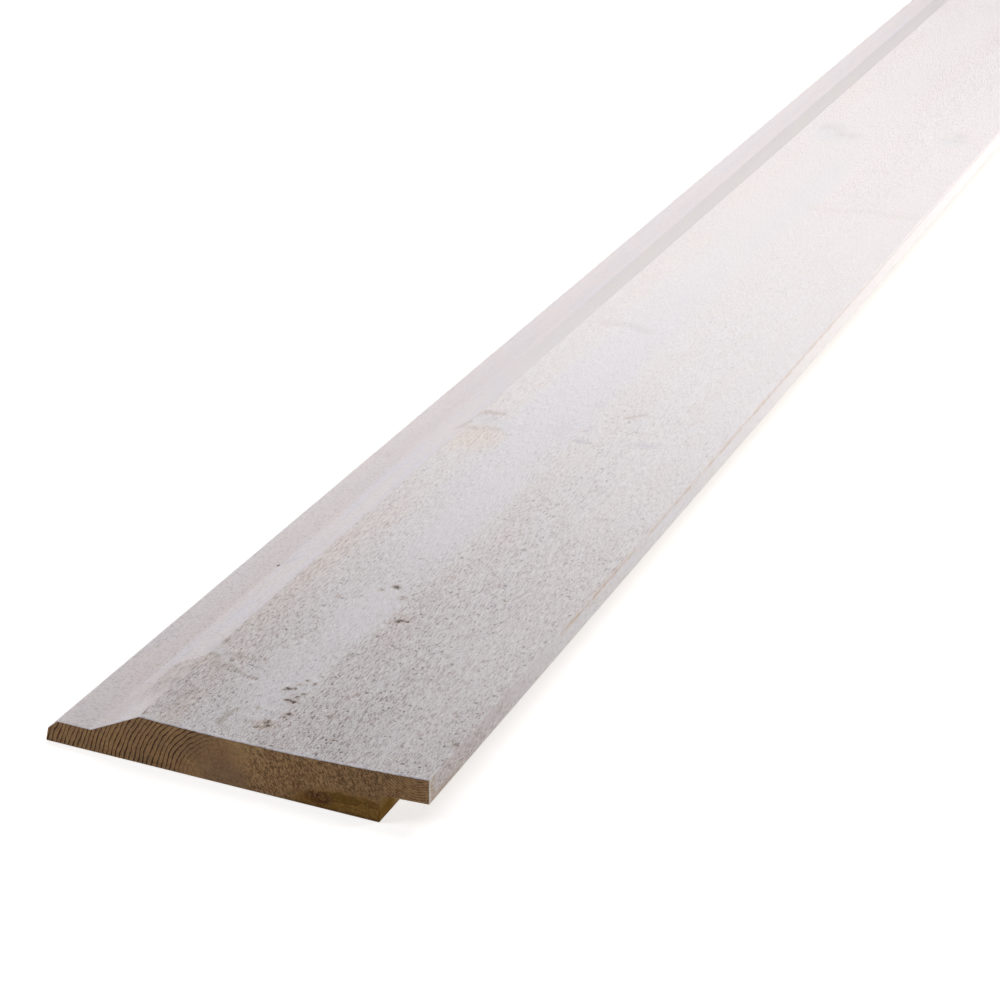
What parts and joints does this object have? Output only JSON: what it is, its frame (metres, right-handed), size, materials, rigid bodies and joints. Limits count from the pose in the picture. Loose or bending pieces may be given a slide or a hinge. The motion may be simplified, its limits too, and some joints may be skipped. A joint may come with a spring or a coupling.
{
  "type": "rebated cladding board",
  "caption": "Softwood cladding board with a fine-sawn white-washed face, a bevelled flange along one edge and a rebated lip along the other.",
  "frame": {"origin": "on the flat back, under the middle of the width and of the length", "axes": "+Y along the board, +X across it from the flange edge to the lip edge, +Z out of the back towards the face"},
  "size_m": [0.145, 1.8, 0.0206],
  "materials": {
    "board": "thin white wash on a fine-sawn face, bare wood on the back, the rebate and the ends"
  },
  "bodies": {
    "root": {"cladding_board": "board"}
  },
  "joints": []
}
